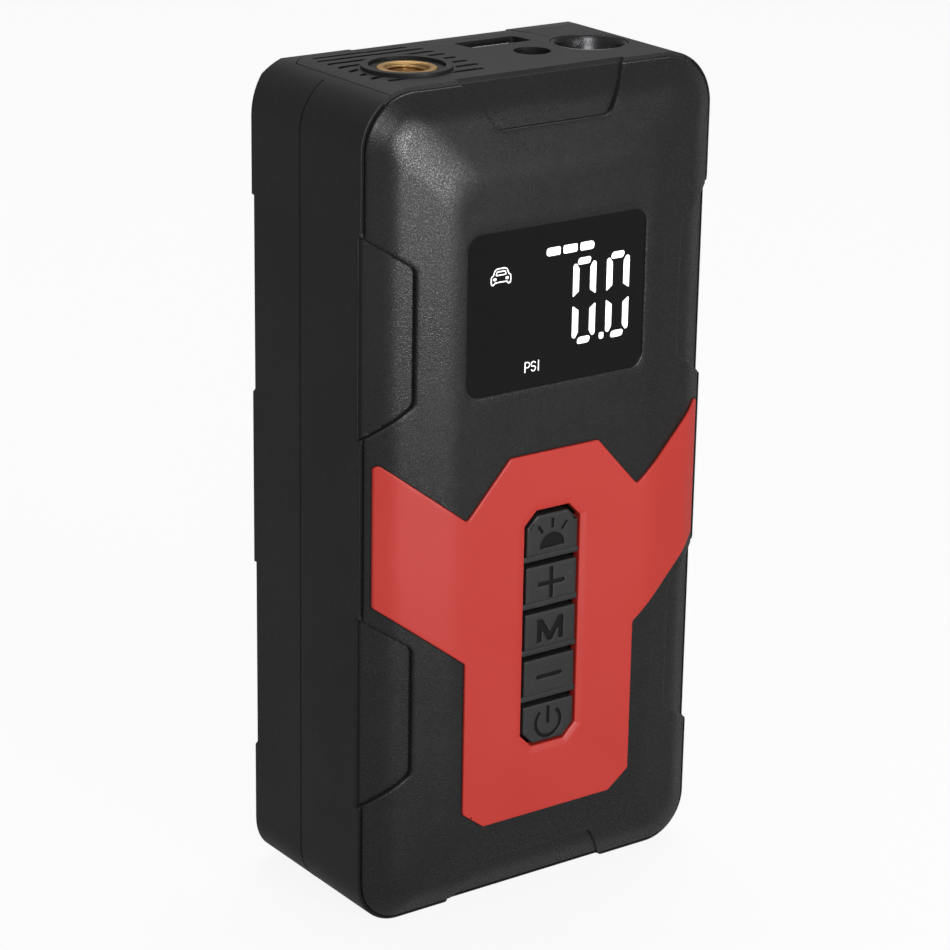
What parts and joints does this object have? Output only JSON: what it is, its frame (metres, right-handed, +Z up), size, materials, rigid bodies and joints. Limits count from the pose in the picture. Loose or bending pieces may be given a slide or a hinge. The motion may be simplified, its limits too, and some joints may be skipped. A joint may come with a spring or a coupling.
{
  "type": "jump starter pack",
  "caption": "Upright handheld car jump starter with a tyre compressor: black two-shell case, red inlay, display, key column and an end panel with air outlet, sockets and torch.",
  "frame": {"origin": "middle of the base's footprint, on the surface that the pack stands on", "axes": "+Z up towards the end panel, -Y out of the front with the display, +X to the right seen from the front"},
  "size_m": [0.09, 0.0532, 0.1851],
  "materials": {
    "shell_plastic": "smooth matt black ABS",
    "cover_plastic": "spark-textured satin black ABS",
    "accent_red": "satin red ABS",
    "window_black": "polished black acrylic",
    "digit_white": "lit white segments",
    "module_white": "white LED display housing",
    "key_plastic": "fine matt dark grey plastic",
    "panel_plastic": "smooth matt dark grey ABS",
    "black_plastic": "black moulded plastic",
    "plunger_grey": "grey nylon",
    "board_green": "green circuit board",
    "steel": "bright steel",
    "nickel": "nickel-plated steel",
    "screw_black": "black oxide steel",
    "brass": "machined brass",
    "gold_contact": "gold-plated contacts",
    "reflector": "vacuum-metallised plastic",
    "lens_clear": "clear moulded lens",
    "led_yellow": "phosphor LED on its board",
    "socket_blue": "blue nylon",
    "rubber_black": "soft black rubber",
    "tray_grey": "grey ABS",
    "cell_wrap": "silver laminate pouch",
    "relay_blue": "blue relay case",
    "capacitor_sleeve": "dark sleeve",
    "motor_can": "zinc-plated can",
    "cast_alloy": "die-cast alloy",
    "gear_nylon": "natural nylon"
  },
  "bodies": {
    "case": {"front_cover": "cover_plastic", "front_shell": "shell_plastic", "rear_shell": "shell_plastic", "accent_panel": "accent_red", "display_window": "window_black", "display_digits": "digit_white", "display_module": "module_white", "key_switches": "black_plastic", "keypad_board": "board_green", "keypad_screws": "steel", "top_panel": "panel_plastic", "air_outlet": "brass", "outlet_hose": "rubber_black", "usb_socket": "nickel", "usb_tongue": "module_white", "dc_socket": "black_plastic", "dc_pin": "nickel", "torch_reflector": "reflector", "torch_lens": "lens_clear", "torch_led": "led_yellow", "port_board": "board_green", "jump_socket": "socket_blue", "jump_contacts": "gold_contact", "cover_pin": "steel", "battery_tray": "tray_grey", "battery_cell_1": "cell_wrap", "battery_cell_2": "cell_wrap", "battery_cell_3": "cell_wrap", "main_board": "board_green", "power_relay": "relay_blue", "capacitors": "capacitor_sleeve", "board_screws": "steel", "motor": "motor_can", "compressor_frame": "cast_alloy", "crank_axle": "steel", "cylinder": "cast_alloy", "cylinder_head": "cast_alloy", "tie_screws": "steel", "case_screws": "screw_black"},
    "crank": {"crank_gear": "gear_nylon"},
    "rotor": {"motor_shaft": "steel", "motor_pinion": "brass"},
    "piston": {"piston_rod": "gear_nylon", "piston_seal": "rubber_black", "crank_pin": "steel"},
    "flap": {"socket_cover": "rubber_black"},
    "light_button": {"light_key": "key_plastic", "light_plunger": "plunger_grey"},
    "plus_button": {"plus_key": "key_plastic", "plus_plunger": "plunger_grey"},
    "mode_button": {"mode_key": "key_plastic", "mode_plunger": "plunger_grey"},
    "minus_button": {"minus_key": "key_plastic", "minus_plunger": "plunger_grey"},
    "power_button": {"power_key": "key_plastic", "power_plunger": "plunger_grey"}
  },
  "joints": [
    {"name": "light_press", "type": "slide", "parent": "case", "child": "light_button", "axis": [0, 1, 0], "range_m": [0, 0.0008], "stiffness_N_per_m": 400, "springref_m": -0.0004},
    {"name": "plus_press", "type": "slide", "parent": "case", "child": "plus_button", "axis": [0, 1, 0], "range_m": [0, 0.0008], "stiffness_N_per_m": 400, "springref_m": -0.0004},
    {"name": "mode_press", "type": "slide", "parent": "case", "child": "mode_button", "axis": [0, 1, 0], "range_m": [0, 0.0008], "stiffness_N_per_m": 400, "springref_m": -0.0004},
    {"name": "minus_press", "type": "slide", "parent": "case", "child": "minus_button", "axis": [0, 1, 0], "range_m": [0, 0.0008], "stiffness_N_per_m": 400, "springref_m": -0.0004},
    {"name": "power_press", "type": "slide", "parent": "case", "child": "power_button", "axis": [0, 1, 0], "range_m": [0, 0.0008], "stiffness_N_per_m": 400, "springref_m": -0.0004},
    {"name": "flap_hinge", "type": "hinge", "parent": "case", "child": "flap", "pos_m": [0.0439, 0.01285, 0.15245], "axis": [0, -1, 0], "range_deg": [0, 100]},
    {"name": "crank_spin", "type": "hinge", "parent": "case", "child": "crank", "pos_m": [-0.0175, 0.00505, 0.1222], "axis": [1, 0, 0], "continuous": true},
    {"name": "motor_spin", "type": "hinge", "parent": "case", "child": "rotor", "pos_m": [-0.0175, 0.00505, 0.106], "axis": [1, 0, 0], "continuous": true},
    {"name": "piston_stroke", "type": "slide", "parent": "case", "child": "piston", "axis": [0, 0, 1], "range_m": [0, 0.009]}
  ],
  "couplings": [
    {"joint": "motor_spin", "follows": "crank_spin", "ratio": -4.4}
  ]
}
